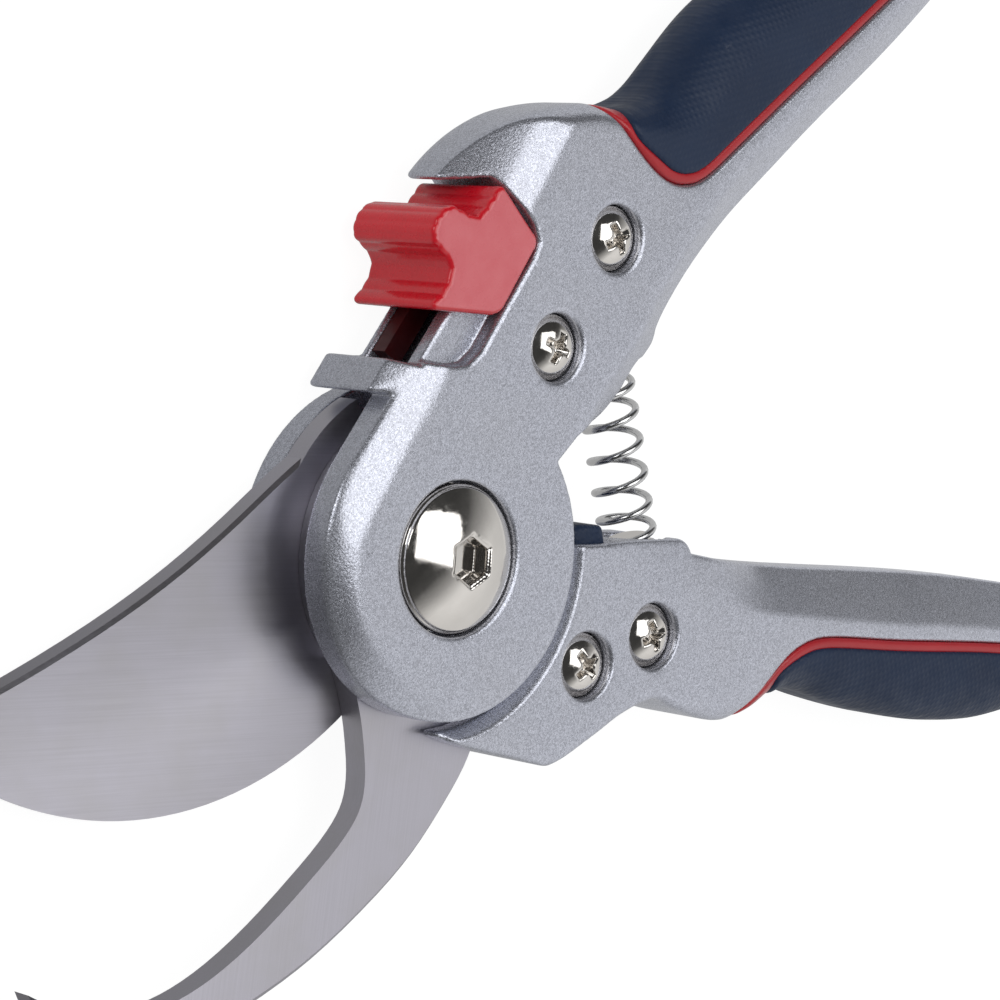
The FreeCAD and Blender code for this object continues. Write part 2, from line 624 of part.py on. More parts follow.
def screw(name, centre, seat_level, length, twist):
    """A pan-head screw with a cross recess, its head seated at a level."""
    body = new_body(name)
    sketch = new_sketch(body, name + "_profile", "0.0", "XZ_Plane")
    head, body_radius = SIZES["screw_head_radius"], SIZES["screw_radius"]
    trace(sketch, [
        [(0.0, -length), (body_radius - 0.5, -length)],
        [(body_radius - 0.5, -length), (body_radius, -length + 0.8)],
        [(body_radius, -length + 0.8), (body_radius, 0.0)],
        [(body_radius, 0.0), (head, 0.0)],
        [(head, 0.0), (head, 1.4)],
        [(head, 1.4), (0.68 * head, 2.6), (0.0, 3.15)],
        [(0.0, 3.15), (0.0, -length)],
    ])
    revolve(body, sketch)
    for bar, (arm, half) in {"along": (CROSS_ARM, CROSS_HALF), "across": (CROSS_HALF, CROSS_ARM)}.items():
        cross = new_sketch(body, "%s_%s" % (name, bar), "3.2")
        trace(cross, chain([(-arm, -half), (arm, -half), (arm, half), (-arm, half)]))
        pocket(body, cross, "1.7")
    seat = Vector(centre[0], centre[1], height(seat_level))
    body.Placement = Placement(seat, Rotation(Vector(0, 0, 1), twist))
    return body


UPPER_SEAT = FRONT + " - Sizes.screw_well_depth"
LOWER_SEAT = "Sizes.lower_top - Sizes.screw_well_depth"
pairs = {
    "upper_handle_screws": [
        ("screw_a", SCREW_A, UPPER_SEAT, 10.0, 12.0),
        ("screw_b", SCREW_B, UPPER_SEAT, 10.0, 50.0),
    ],
    "lower_handle_screws": [
        ("screw_c", SCREW_C, LOWER_SEAT, 10.8, 25.0),
        ("screw_d", SCREW_D, LOWER_SEAT, 10.8, 5.0),
    ],
}
for name, screws in pairs.items():
    group = doc.addObject("Part::Compound", name)
    group.Links = [screw(*row) for row in screws]
    group.Label = name

# ---------------------------------------------------------------- return spring and its studs
def coil(name, radius, wire, pitch, length):
    """A plain helical wire, standing on the XY plane about the Z axis."""
    helix = Part.makeHelix(pitch, length, radius)
    circle_edge = Part.makeCircle(wire / 2.0, Vector(radius, 0, 0), Vector(0, 1, 0))
    sweep = Part.Wire(helix.Edges).makePipeShell([Part.Wire([circle_edge])], True, True)
    feature = doc.addObject("Part::Feature", name)
    feature.Label = name
    feature.Shape = sweep
    return feature


wire = SIZES["spring_wire"]
coil_radius = (SIZES["spring_outer"] - wire) / 2.0
spring = coil("return_spring", coil_radius, wire, 3.2, SPRING_TOP - SPRING_BOTTOM - wire - 0.1)
spring.Placement = Placement(Vector(SPRING_X, SPRING_BOTTOM + wire / 2.0 + 0.05, SPRING_Z),
                             Rotation(Vector(1, 0, 0), -90.0))
STUD_LONG = 5.0
for name, start in (("upper_spring_stud", SPRING_TOP - STUD_LONG), ("lower_spring_stud", SPRING_BOTTOM)):
    stud = doc.addObject("Part::Cylinder", name)
    stud.Label = name
    stud.setExpression("Radius", "(Sizes.spring_outer - 2 * Sizes.spring_wire) / 2 - 0.2")
    stud.Height = STUD_LONG
    stud.Placement = Placement(Vector(SPRING_X, start, SPRING_Z), Rotation(Vector(1, 0, 0), -90.0))

# ---------------------------------------------------------------- lock
FIT = SIZES["slide_fit"]
slider = new_body("lock_slider")
sketch = new_sketch(slider, "slider_profile", "Sizes.upper_bottom + Sizes.slide_fit")
trace(sketch, [
    [(17.3, 44.8), (21.4, 37.4)],
    [(21.4, 37.4), (21.8, 36.0), (21.0, 34.9)],
    [(21.0, 34.9), (14.8, 29.6)],
    [(14.8, 29.6), (13.3, 28.8), (11.9, 28.9)],
    [(11.9, 28.9), (0.8, 32.7)],
    [(0.8, 32.7), (2.6, 33.1), (4.3, 34.0), (5.8, 35.4), (6.3, 37.1), (5.3, 38.9), (4.2, 40.7), (5.0, 42.8),
     (6.8, 44.0), (8.7, 44.1), (10.8, 42.6), (12.4, 41.9), (14.0, 42.6), (17.3, 44.8)],
])
pad(slider, sketch, FRONT + " - Sizes.upper_bottom - 2 * Sizes.slide_fit")
rails = {
    "front_rail": ("Sizes.slide_front_floor + Sizes.slide_fit",
                   "Sizes.slide_front_floor - Sizes.slot_top + 2 * Sizes.slide_fit", (10.0, 20.0 + FIT)),
    "back_rail": ("Sizes.slot_bottom + Sizes.slide_fit",
                  "Sizes.slot_bottom - Sizes.slide_back_floor + 2 * Sizes.slide_fit", (10.0, 20.0 + FIT)),
    "web_foot": ("Sizes.slot_top - Sizes.slide_fit",
                 "Sizes.slot_top - Sizes.slot_bottom - 2 * Sizes.slide_fit", (10.0, 15.0 + FIT)),
}
for name, (top, depth, offsets) in rails.items():
    rail = track_block(new_sketch(slider, name, top), offsets, (0.0, 60.0))
    pocket(slider, rail, depth)
BOLT_OFFSETS = (16.5, 19.6)
BOLT_STATIONS = (17.6, 36.0)
BOLT_THICK = 2.3
slit = new_sketch(slider, "bolt_slit", "Sizes.slot_bottom + Sizes.slide_fit + %s" % BOLT_THICK)
track_block(slit, BOLT_OFFSETS, BOLT_STATIONS)
pocket(slider, slit, str(BOLT_THICK))
RIVET_AT = along(18.05, 31.0)
RIVET_TOP = "11.5"
RIVET_RADIUS = 1.0
well(slider, "slider_rivet_hole", RIVET_AT, str(RIVET_RADIUS), RIVET_TOP, RIVET_TOP + " - Sizes.slot_bottom")

lock_bolt = new_body("lock_bolt")
sketch = new_sketch(lock_bolt, "bolt_outline", "Sizes.slot_bottom + Sizes.slide_fit")
pad(lock_bolt, track_block(sketch, BOLT_OFFSETS, BOLT_STATIONS), str(BOLT_THICK))
well(lock_bolt, "bolt_rivet_hole", RIVET_AT, str(RIVET_RADIUS), RIVET_TOP, RIVET_TOP + " - Sizes.slot_bottom")

rivet = doc.addObject("Part::Cylinder", "lock_rivet")
rivet.Label = "lock_rivet"
rivet.Radius = RIVET_RADIUS
rivet.setExpression("Height", RIVET_TOP + " - Sizes.slot_bottom - Sizes.slide_fit")
rivet.Placement = Placement(Vector(*RIVET_AT, SIZES["slot_bottom"] + FIT), Rotation())

BALL_RADIUS = 1.2
ball_at = along(15.0 + FIT - BALL_RADIUS - 0.05, DETENT_STATION)
ball = doc.addObject("Part::Sphere", "lock_detent_ball")
ball.Label = "lock_detent_ball"
ball.Radius = BALL_RADIUS
ball.Placement = Placement(Vector(*ball_at, DETENT_LEVEL), Rotation())
detent_spring = coil("lock_detent_spring", 0.9, 0.4, 1.0, 4.0)
outward = Vector(*along(1.0, 0.0), 0.0)
foot = along(7.9, DETENT_STATION)
detent_spring.Placement = Placement(Vector(*foot, DETENT_LEVEL), Rotation(Vector(0, 0, 1), outward))

# ---------------------------------------------------------------- checks and files
NODES = [
    "upper_handle", "upper_grip_trim", "upper_grip", "lower_handle", "lower_grip_trim", "lower_grip",
    "cutting_blade", "hook_blade", "pivot_bolt", "pivot_nut", "head_washer", "nut_washer",
    "upper_handle_screws", "lower_handle_screws", "return_spring", "upper_spring_stud", "lower_spring_stud",
    "rubber_bumper", "lock_slider", "lock_bolt", "lock_rivet", "lock_detent_ball", "lock_detent_spring",
]
doc.recompute()
for item in doc.Objects:
    if "Invalid" in item.State or "Error" in item.State:
        raise RuntimeError("%s is %s" % (item.Name, item.State))
os.makedirs("parts", exist_ok=True)
for label in NODES:
    shape = doc.getObjectsByLabel(label)[0].Shape
    if shape.isNull() or not shape.isValid() or not shape.Solids:
        raise RuntimeError(label + " is not a sound solid")
    shape.exportStep("parts/%s.step" % label)
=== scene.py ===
import math

import bpy
import numpy as np
import openvdb
from mathutils import Matrix, Vector


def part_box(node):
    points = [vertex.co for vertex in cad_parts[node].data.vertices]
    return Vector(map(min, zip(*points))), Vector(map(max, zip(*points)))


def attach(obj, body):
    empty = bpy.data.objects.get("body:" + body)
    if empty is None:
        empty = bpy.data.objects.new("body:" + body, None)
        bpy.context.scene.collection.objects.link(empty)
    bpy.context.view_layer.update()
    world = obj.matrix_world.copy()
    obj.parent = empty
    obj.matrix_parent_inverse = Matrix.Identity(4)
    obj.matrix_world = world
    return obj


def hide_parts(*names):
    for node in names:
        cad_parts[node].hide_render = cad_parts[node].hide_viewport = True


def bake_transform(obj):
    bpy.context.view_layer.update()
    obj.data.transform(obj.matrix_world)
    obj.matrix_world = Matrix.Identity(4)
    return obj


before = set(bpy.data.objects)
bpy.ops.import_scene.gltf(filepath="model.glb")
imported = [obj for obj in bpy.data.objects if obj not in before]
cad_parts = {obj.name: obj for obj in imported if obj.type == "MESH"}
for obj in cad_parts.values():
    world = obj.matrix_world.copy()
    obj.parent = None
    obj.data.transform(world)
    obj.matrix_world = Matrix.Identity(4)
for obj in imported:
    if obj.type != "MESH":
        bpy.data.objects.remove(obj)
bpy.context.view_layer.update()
MM = 0.001                               # metres in a millimetre
MM_PER_M = 1000.0


# ---------------------------------------------------------------- materials
# sockets of a Mix node that are its colour ones
COLOUR_A, COLOUR_B, COLOUR_OUT = 6, 7, 2


class Finish:
    """A procedural material, wired node by node around a Principled surface."""

    def __init__(self, name, **inputs):
        self.material = bpy.data.materials.new(name)
        self.material.use_nodes = True
        self.tree = self.material.node_tree
        self.surface = self.tree.nodes["Principled BSDF"]
        for key, value in inputs.items():
            self.surface.inputs[key.replace("_", " ")].default_value = value
        self.coords = self.add("ShaderNodeTexCoord").outputs["Object"]

    def add(self, kind, **settings):
        node = self.tree.nodes.new(kind)
        for key, value in settings.items():
            setattr(node, key, value)
        return node

    def feed(self, socket, value):
        if isinstance(value, bpy.types.NodeSocket):
            self.tree.links.new(value, socket)
        else:
            socket.default_value = value

    def stretched(self, angle, along, across):
        """Object coordinates turned about Z and squeezed, so that noise on them runs as lines.

        The angle is in degrees; along and across are the lines' length and width in metres.
        """
        mapping = self.add("ShaderNodeMapping")
        turn = self.add("ShaderNodeVectorRotate", rotation_type="Z_AXIS")
        self.feed(turn.inputs["Vector"], self.coords)
        turn.inputs["Angle"].default_value = math.radians(-angle)
        self.feed(mapping.inputs["Vector"], turn.outputs["Vector"])
        mapping.inputs["Scale"].default_value = (1.0 / along, 1.0 / across, 1.0 / across)
        return mapping.outputs["Vector"]

    def noise(self, grain, detail=2.0, vector=None, rough=0.5):
        """Noise whose spots are about `grain` metres wide, from 0 to 1."""
        node = self.add("ShaderNodeTexNoise")
        self.feed(node.inputs["Vector"], vector or self.coords)
        node.inputs["Scale"].default_value = 1.0 / grain
        node.inputs["Detail"].default_value = detail
        node.inputs["Roughness"].default_value = rough
        return node.outputs["Fac"]

    def cells(self, grain, output="Distance", spread=1.0, flat=False):
        """Cells about `grain` metres wide.

        With no spread they stand in straight rows; flat ones run through in Z.
        """
        node = self.add("ShaderNodeTexVoronoi", voronoi_dimensions="2D" if flat else "3D")
        node.inputs["Randomness"].default_value = spread
        self.feed(node.inputs["Vector"], self.coords)
        node.inputs["Scale"].default_value = 1.0 / grain
        return node.outputs[output]

    def spread(self, value, low, high, to_low, to_high):
        """Maps a value's range onto another one."""
        node = self.add("ShaderNodeMapRange")
        self.feed(node.inputs["Value"], value)
        for key, number in (("From Min", low), ("From Max", high), ("To Min", to_low), ("To Max", to_high)):
            node.inputs[key].default_value = number
        return node.outputs["Result"]

    def mix(self, factor, first, second):
        """Blends two colours: the first at 0, the second at 1."""
        node = self.add("ShaderNodeMix", data_type="RGBA")
        self.feed(node.inputs["Factor"], factor)
        self.feed(node.inputs[COLOUR_A], first)
        self.feed(node.inputs[COLOUR_B], second)
        return node.outputs[COLOUR_OUT]

    def bump(self, height, depth, strength=1.0, under=None):
        node = self.add("ShaderNodeBump")
        node.inputs["Strength"].default_value = strength
        node.inputs["Distance"].default_value = depth
        self.feed(node.inputs["Height"], height)
        if under is not None:
            self.feed(node.inputs["Normal"], under)
        return node.outputs["Normal"]

    def wire(self, **sockets):
        """Feeds the surface's own sockets and hands over the finished material."""
        for key, value in sockets.items():
            self.feed(self.surface.inputs[key.replace("_", " ")], value)
        return self.material


def grey(level, tint=(1.0, 1.0, 1.0)):
    return (level * tint[0], level * tint[1], level * tint[2], 1.0)


LACQUER_TINT = (0.95, 0.98, 1.11)
GROUND_TINT = (1.0, 0.975, 1.08)


def silver_paint():
    """Cast alloy under a sandy metallic lacquer: fine grain, scattered flakes."""
    f = Finish("silver_paint", Metallic=0.85)
    level = f.add("ShaderNodeRGBToBW")
    f.feed(level.inputs["Color"], f.cells(grain=0.00016, output="Color"))
    flakes = level.outputs["Val"]
    grains = f.spread(flakes, 0.15, 0.85, 0.0, 1.0)
    colour = f.mix(grains, grey(0.42, LACQUER_TINT), grey(0.70, LACQUER_TINT))
    patches = f.spread(f.noise(grain=0.012, detail=3.0), 0.35, 0.65, 0.0, 0.15)
    colour = f.mix(patches, colour, grey(0.5, (1.0, 1.0, 1.05)))
    rough = f.spread(f.noise(grain=0.0002), 0.3, 0.7, 0.22, 0.34)
    sand = f.bump(f.noise(grain=0.0003, detail=2.0), depth=0.00006, strength=0.6)
    fine = f.bump(flakes, depth=0.00005, strength=0.35, under=sand)
    return f.wire(Base_Color=colour, Roughness=rough, Normal=fine)


def red_trim():
    """Moulded red plastic with a faint satin grain."""
    f = Finish("red_trim", Coat_Weight=0.25, Coat_Roughness=0.15)
    colour = f.mix(f.noise(grain=0.006, detail=3.0), (0.34, 0.004, 0.010, 1), (0.44, 0.008, 0.016, 1))
    rough = f.spread(f.noise(grain=0.0015), 0.3, 0.7, 0.3, 0.42)
    fine = f.bump(f.noise(grain=0.0005), depth=0.00002, strength=0.5)
    return f.wire(Base_Color=colour, Roughness=rough, Normal=fine)


def navy_rubber():
    """Soft dark blue grip with a close pattern of small pips."""
    f = Finish("navy_rubber", Specular_IOR_Level=0.35)
    colour = f.mix(f.noise(grain=0.008, detail=3.0), (0.006, 0.016, 0.045, 1), (0.011, 0.027, 0.068, 1))
    pips = f.spread(f.cells(grain=0.0009, spread=0.0, flat=True), 0.0, 0.45, 1.0, 0.0)
    rough = f.spread(f.noise(grain=0.002, detail=3.0), 0.3, 0.7, 0.42, 0.58)
    return f.wire(Base_Color=colour, Roughness=rough, Normal=f.bump(pips, depth=0.0001, strength=0.45))


def satin_steel(name, level, angle, smooth, rough):
    """Ground steel: fine lines along one direction, and a little cloudiness."""
    f = Finish(name, Metallic=1.0, Anisotropic=0.5)
    lines = f.noise(grain=1.0, detail=2.0, vector=f.stretched(angle, along=0.02, across=0.00025), rough=0.6)
    strokes = f.spread(lines, 0.3, 0.7, 0.0, 1.0)
    colour = f.mix(strokes, grey(level * 0.95, GROUND_TINT), grey(level * 1.04, GROUND_TINT))
    cloud = f.spread(f.noise(grain=0.009, detail=3.0), 0.4, 0.7, 0.0, 0.3)
    colour = f.mix(cloud, colour, grey(level * 0.85, (1.0, 0.97, 0.95)))
    return f.wire(Base_Color=colour, Roughness=f.spread(lines, 0.3, 0.7, smooth, rough),
                  Normal=f.bump(lines, depth=0.00001, strength=0.2))


def plated_steel():
    """Bright nickel plate with faint handling marks."""
    f = Finish("plated_steel", Metallic=1.0)
    warm, pale = grey(0.68, (1.0, 0.955, 0.90)), grey(0.8, (1.0, 0.965, 0.92))
    colour = f.mix(f.noise(grain=0.004, detail=3.0), warm, pale)
    rough = f.spread(f.noise(grain=0.0012, detail=4.0), 0.35, 0.75, 0.06, 0.16)
    fine = f.bump(f.noise(grain=0.0009, detail=3.0), depth=0.000006, strength=0.25)
    return f.wire(Base_Color=colour, Roughness=rough, Normal=fine)


def spring_steel():
    """Drawn and plated wire: bright, with fine marks."""
    f = Finish("spring_steel", Metallic=1.0)
    colour = f.mix(f.noise(grain=0.0012, detail=3.0), grey(0.55), grey(0.8))
    rough = f.spread(f.noise(grain=0.0005, detail=3.0), 0.35, 0.75, 0.12, 0.28)
    fine = f.bump(f.noise(grain=0.0003), depth=0.00002, strength=0.4)
    return f.wire(Base_Color=colour, Roughness=rough, Normal=fine)


def black_rubber():
    """Dull rubber of the bumper's CAD solid, which the navy bumper_block stands for in the picture."""
    f = Finish("black_rubber")
    colour = f.mix(f.noise(grain=0.002, detail=3.0), grey(0.012), grey(0.03))
    rough = f.spread(f.noise(grain=0.001), 0.3, 0.7, 0.5, 0.7)
    fine = f.bump(f.noise(grain=0.0004), depth=0.00004, strength=0.5)
    return f.wire(Base_Color=colour, Roughness=rough, Normal=fine)


def slot_shade_red():
    """What shows down the slider's slot: its red plastic, painted very dark as painted shade for the slot.
    """
    f = Finish("slot_shade_red")
    # painted shade: these dark reds stand in for the shade down the slot
    colour = f.mix(f.noise(grain=0.003, detail=3.0), (0.03, 0.001, 0.002, 1), (0.07, 0.002, 0.003, 1))
    rough = f.spread(f.noise(grain=0.0012), 0.3, 0.7, 0.3, 0.5)
    fine = f.bump(f.noise(grain=0.0006), depth=0.00001, strength=0.5)
    return f.wire(Base_Color=colour, Roughness=rough, Normal=fine)


def gloss_red():
    """Glossy moulded red plastic of the lock's slider, with a painted pale reflection on its front face."""
    f = Finish("gloss_red", Coat_Weight=0.5, Coat_Roughness=0.12)
    colour = f.mix(f.noise(grain=0.005, detail=3.0), (0.50, 0.002, 0.010, 1), (0.58, 0.004, 0.016, 1))
    facing = f.add("ShaderNodeSeparateXYZ")
    f.feed(facing.inputs["Vector"], f.add("ShaderNodeNewGeometry").outputs["Normal"])
    # painted reflection: faces turned straight out get a pale pink in place of the reflection they catch
    front = f.spread(facing.outputs["Z"], 0.9, 0.995, 0.0, 1.0)
    front_reflection = f.mix(f.noise(grain=0.003, detail=4.0), (0.58, 0.09, 0.11, 1), (0.66, 0.16, 0.18, 1))
    rough = f.spread(f.noise(grain=0.0012), 0.3, 0.7, 0.22, 0.36)
    fine = f.bump(f.noise(grain=0.0006), depth=0.00001, strength=0.5)
    return f.wire(Base_Color=f.mix(front, colour, front_reflection), Roughness=rough, Normal=fine)


FINISHES = {
    "handle_alloy": silver_paint(),
    "trim_red": red_trim(),
    "grip_navy": navy_rubber(),
    "blade_steel": satin_steel("blade_steel", level=0.56, angle=-17.0, smooth=0.3, rough=0.38),
    "hook_steel": satin_steel("hook_steel", level=0.6, angle=68.0, smooth=0.3, rough=0.4),
    "plated_steel": plated_steel(),
    "spring_steel": spring_steel(),
    "bumper_rubber": black_rubber(),
    "slider_red": gloss_red(),
    "slot_shade_red": slot_shade_red(),
}
SLOT_OF = {
    "upper_handle": "handle_alloy", "lower_handle": "handle_alloy",
    "upper_grip_trim": "trim_red", "lower_grip_trim": "trim_red",
    "upper_grip": "grip_navy", "lower_grip": "grip_navy",
    "cutting_blade": "blade_steel", "hook_blade": "blade_steel",
    "rubber_bumper": "bumper_rubber", "lock_slider": "slider_red",
    "lock_bolt": "slider_red", "lock_rivet": "slider_red",
    "return_spring": "spring_steel", "lock_detent_spring": "spring_steel",
}
# CAD nodes whose look is a variant of their slot's; the lock's bolt and rivet take a painted shade
LOOK_OF = {"hook_blade": "hook_steel", "lock_bolt": "slot_shade_red", "lock_rivet": "slot_shade_red"}


def paint(obj, finish):
    obj.data.materials.clear()
    obj.data.materials.append(FINISHES[finish])


for name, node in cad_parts.items():
    kind = SLOT_OF.get(name, "plated_steel")
    paint(node, LOOK_OF.get(name, kind))


# ---------------------------------------------------------------- voxel clay
VOXEL = 0.26      # mm, for the handles and grips
FINE = 0.13       # mm, for the small parts
BAND = 9                                 # voxels of true distance kept either side of a surface
LARGE_SAVING = 0.004                     # merges faces on flat stretches of the handles and grips


def mesh_object(name, points, faces, finish):
    """A smooth-shaded object from points in metres and faces."""
    mesh = bpy.data.meshes.new(name)
    mesh.from_pydata(np.asarray(points).tolist(), [], faces)
    mesh.shade_smooth()
    obj = bpy.data.objects.new(name, mesh)
    bpy.context.scene.collection.objects.link(obj)
    paint(obj, finish)
    return obj


def mesh_arrays(node):
    """A CAD node's vertices in millimetres and its triangles."""
    mesh = node.data
    points = np.zeros(len(mesh.vertices) * 3, np.float32)
    mesh.vertices.foreach_get("co", points)
    mesh.calc_loop_triangles()
    triangles = np.zeros(len(mesh.loop_triangles) * 3, np.int32)
    mesh.loop_triangles.foreach_get("vertices", triangles)
    return points.reshape(-1, 3) * MM_PER_M, triangles.reshape(-1, 3).astype(np.uint32)


def level_set(points, triangles, quads=None, voxel=VOXEL):
    """A grid of signed distances, in millimetres, to a closed mesh."""
    settings = {"transform": openvdb.createLinearTransform(voxelSize=voxel), "halfWidth": float(BAND)}
    if quads is not None and len(quads):
        settings["quads"] = quads
    if len(triangles):
        settings["triangles"] = triangles
    return openvdb.FloatGrid.createLevelSetFromPolygons(points.astype(np.float32), **settings)


def smooth_max(a, b, blend):
    """The larger of two fields, with the corner between them rounded over a width of `blend`."""
    if blend <= 0.0:
        return np.maximum(a, b)
    share = np.clip(0.5 + 0.5 * (a - b) / blend, 0.0, 1.0)
    return b + (a - b) * share + blend * share * (1.0 - share)


def ramp(value, low, high):
    """Smooth step from 0 at low to 1 at high."""
    t = np.clip((value - low) / (high - low), 0.0, 1.0)
    return t * t * (3.0 - 2.0 * t)


class Clay:
    """A CAD node as distances (mm) on a box of voxels, to be cut, rounded and turned back into a mesh."""

    def __init__(self, node, voxel=VOXEL):
        self.voxel = voxel
        grid = level_set(*mesh_arrays(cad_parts[node]), voxel=voxel)
        first, last = grid.evalActiveVoxelBoundingBox()
        self.corner = first
        self.shape = [last[k] - first[k] + 1 for k in range(3)]
        self.d = np.full(self.shape, BAND * voxel, np.float32)
        grid.copyToArray(self.d, ijk=first)
        axes = [(np.arange(self.shape[k], dtype=np.float32) + first[k]) * voxel for k in range(3)]
        self.x = axes[0][:, None, None]
        self.y = axes[1][None, :, None]
        self.z = axes[2][None, None, :]

    def cut(self, field, blend=0.0):
        """Keeps only where the field is below zero."""
        self.d = smooth_max(self.d, field, blend).astype(np.float32)

    def fill(self, field):
        """Adds whatever lies where the field is below zero."""
        self.d = np.minimum(self.d, field).astype(np.float32)

    def grid(self):
        """The distances as an openvdb grid."""
        reach = BAND * self.voxel
        grid = openvdb.FloatGrid(reach)
        grid.copyFromArray(np.clip(self.d, -reach, reach), ijk=self.corner, tolerance=0.0)
        grid.transform = openvdb.createLinearTransform(voxelSize=self.voxel)
        return grid

    def piece(self, name, body, finish, node, rounding=0.5):
        """A mesh of the clay with its outside edges rounded, riding on a body in place of its CAD node."""
        points, triangles, quads = self.grid().convertToPolygons(isovalue=-rounding, adaptivity=0.0)
        grid = level_set(points, triangles, quads, self.voxel)
        saving = LARGE_SAVING if self.voxel == VOXEL else 0.0
        points, triangles, quads = grid.convertToPolygons(isovalue=rounding, adaptivity=saving)
        faces = triangles[:, ::-1].tolist() + quads[:, ::-1].tolist()
        obj = mesh_object(name, points * MM, faces, finish)
        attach(obj, body)
        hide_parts(node)
        return obj


def curve(points, steps=6):
    """A smooth run of points through the given ones."""
    p = [np.array(q, float) for q in points]
    p = [2 * p[0] - p[1]] + p + [2 * p[-1] - p[-2]]
    run = []
    for n in range(1, len(p) - 2):
        a, b, c, d = p[n - 1:n + 3]
        for t in np.arange(steps) / steps:
            run.append(0.5 * (2 * b + (c - a) * t + (2 * a - 5 * b + 4 * c - d) * t ** 2
                              + (3 * b - a - 3 * c + d) * t ** 3))
    return run + [p[-2]]


def beside_run(run, x, y):
    """Distance from a run of points, positive on its left, and how far along it the nearest point lies.

    The run goes on straight past both its ends.
    """
    nearest = np.full(np.broadcast(x, y).shape, np.inf, np.float32)
    offset = np.zeros_like(nearest)
    travel = np.zeros_like(nearest)
    last = len(run) - 2
    gone = 0.0
    for n, (a, b) in enumerate(zip(run[:-1], run[1:])):
        dx, dy = b[0] - a[0], b[1] - a[1]
        length = math.hypot(dx, dy)
        t = ((x - a[0]) * dx + (y - a[1]) * dy) / (length * length)
        t = np.clip(t, -np.inf if n == 0 else 0.0, np.inf if n == last else 1.0)
        distance = np.hypot(x - a[0] - t * dx, y - a[1] - t * dy)
        side = np.sign(dx * (y - a[1]) - dy * (x - a[0]))
        closer = distance < nearest
        nearest = np.where(closer, distance, nearest)
        offset = np.where(closer, side * distance, offset)
        travel = np.where(closer, gone + t * length, travel)
        gone += length
    return offset, travel


def offset_from(run, x, y):
    """Distance from a run of points, positive on its left."""
    return beside_run(run, x, y)[0]


def round_over(inside, z, middle, half, wide, tall):
    """Field that rounds a slab's edge.

    Inside is the distance in from the slab's outline; wide and tall are the rounding's size.
    """
    across = np.maximum(wide - inside, 0.0) / wide
    up = np.maximum(np.abs(z - middle) - (half - tall), 0.0) / tall
    return (np.hypot(across, up) - 1.0) * np.minimum(wide, tall)


def fall(depth, z, middle, half):
    """Field that lowers both faces of a slab by a depth that varies over the plane."""
    return np.abs(z - middle) - (half - depth)


# ---------------------------------------------------------------- handles and grips, cut from the CAD solids
def slab(node):
    """Middle height and half thickness of a CAD node, in millimetres."""
    low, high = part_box(node)
    half_metre = MM_PER_M / 2.0
    return (low.z + high.z) * half_metre, (high.z - low.z) * half_metre


# the upper casting, mm from the pivot: a crease, a tilted strip beyond it, a steeper brow beyond that
CREASE_AT = (-12.5, 9.2)
CREASE_ANGLE = math.radians(41.5)
FACET_TILT = math.radians(22.0)
STRIP_WIDTH = 4.8
BROW_SLOPE = 0.66
BROW_CURL = 0.03
# its disc rolls off away from the handle: from this radius, over this width, this deep, in this direction
ROLL_START = 14.5
ROLL_WIDE = 6.5
ROLL_DEEP = 2.7
ROLL_TOWARDS = math.radians(172.0)
# the lower casting is chamfered beside the disc
DISC_EDGE = 24.3
CHAMFER_SLOPE = 1.25
# bevels along the inner edges: depth at a width past the break, how they curve, where in x they fade in
BEVEL_DEEP = 5.0
BEVEL_WIDE = 7.5
BEVEL_CURVE = 1.2
BEVEL_FADE = (22.0, 30.0)
LONG_BEVEL_DEEP = 0.7
LONG_BEVEL_WIDE = 6.0
LONG_BEVEL_CURVE = 1.1
LONG_BEVEL_FADE = (25.0, 33.0)
# the lower one deepens by this between two stations in x
LONG_BEVEL_GROWTH = 3.1
LONG_BEVEL_SWELL = (46.0, 60.0)
# back edges: width and height of the rounding, and how much they grow between two stations in x
UPPER_ROUNDING = {"size": (3.6, 5.4), "growth": (7.4, 2.5), "stations": (40.0, 58.0)}
LOWER_ROUNDING = {"size": (1.6, 1.6), "growth": (7.4, 4.4), "stations": (30.0, 70.0)}
# a steep field is scaled back to about a true distance, by the cosine of its slope
BROW_SCALE = 0.83
ROLL_SCALE = 0.9
BEVEL_SCALE = 0.8
LONG_BEVEL_SCALE = 0.9
CHAMFER_SCALE = 0.62
# corners between cut faces are rounded by these, mm
CRISP = 0.1
SOFT = 0.3
SOFTER = 0.4
# heels: the middle of each round end, and how far out it reaches
HEEL_X = 60.0
HEEL_FROM = 80.0
UPPER_HEEL = (33.0, 71.2)
LOWER_HEEL = (-33.0, 69.8)
HEEL_ROUNDING = (5.0, 7.0)
WELL_INSIDE = 50.0
# screw heads: centre, and the turn of the cross in degrees
UPPER_SCREWS = (((36.15, 32.73), 12.0), ((22.6, 21.65), 50.0))
LOWER_SCREWS = (((20.82, -21.81), 25.0), ((33.82, -22.01), 5.0))
